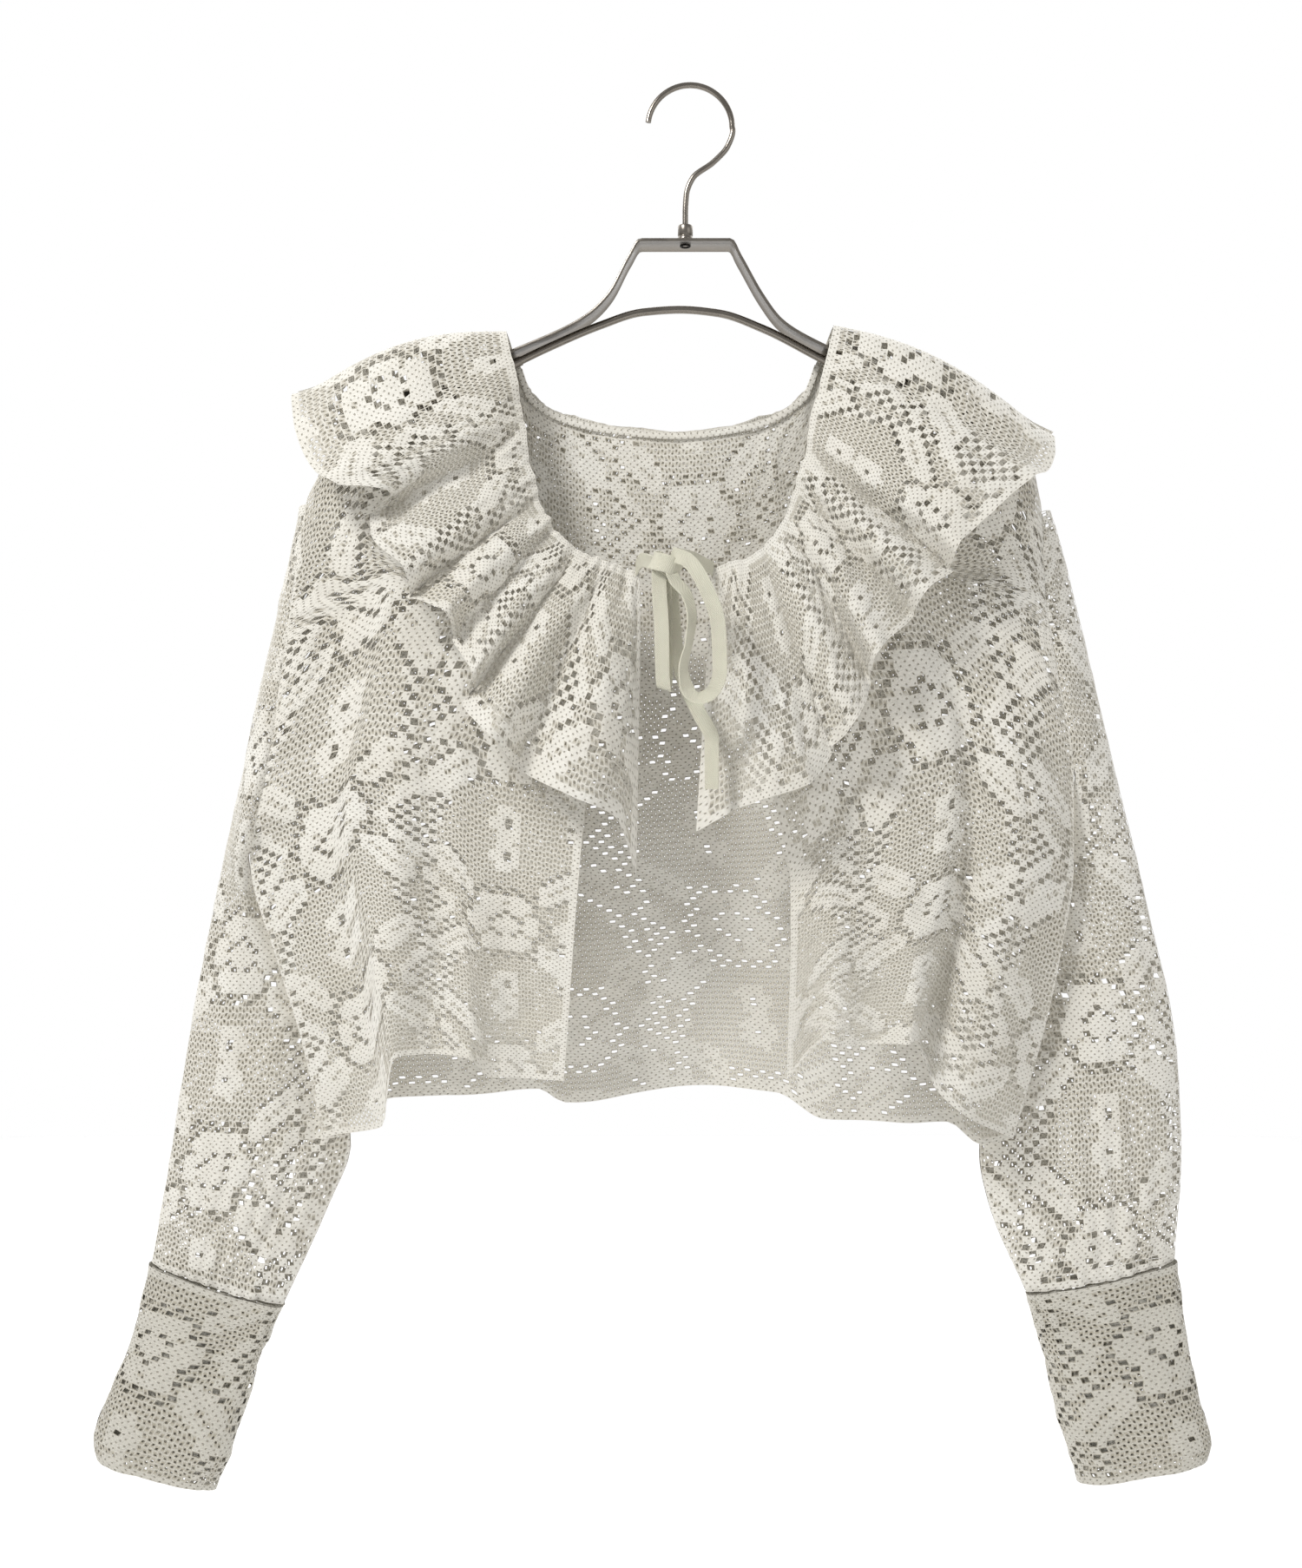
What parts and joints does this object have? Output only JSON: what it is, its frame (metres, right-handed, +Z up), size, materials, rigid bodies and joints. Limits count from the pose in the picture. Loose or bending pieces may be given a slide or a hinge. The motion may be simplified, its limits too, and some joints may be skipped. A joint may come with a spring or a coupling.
{
  "type": "lace cardigan on hanger",
  "caption": "Cropped lace cardigan with a wide collar flounce, tape tie and balloon sleeves, hung on a metal hanger.",
  "frame": {"origin": "underside of the top of the hanger's hook, where it rests on a rail", "axes": "+Z up, +X towards the right of the picture (the wearer's left), +Y away from the camera, so the fronts face -Y"},
  "size_m": [0.7225, 0.1561, 0.9004],
  "materials": {
    "lace_cotton": "matte",
    "tie_tape": "matte",
    "hanger_steel": "satin"
  },
  "bodies": {
    "root": {"back": "lace_cotton", "collar_flounce_back": "lace_cotton", "collar_flounce_left": "lace_cotton", "collar_flounce_right": "lace_cotton", "cuff_left": "lace_cotton", "cuff_right": "lace_cotton", "front_left": "lace_cotton", "front_right": "lace_cotton", "sleeve_left_back": "lace_cotton", "sleeve_left_front": "lace_cotton", "sleeve_right_back": "lace_cotton", "sleeve_right_front": "lace_cotton", "neck_binding": "tie_tape", "tie_end_left": "tie_tape", "tie_end_right": "tie_tape", "tie_knot": "tie_tape", "tie_loop_left": "tie_tape", "tie_loop_right": "tie_tape", "tie_tail": "tie_tape", "hanger_ferrule": "hanger_steel", "hanger_hook": "hanger_steel", "hanger_rod": "hanger_steel", "hanger_strap": "hanger_steel"}
  },
  "joints": []
}
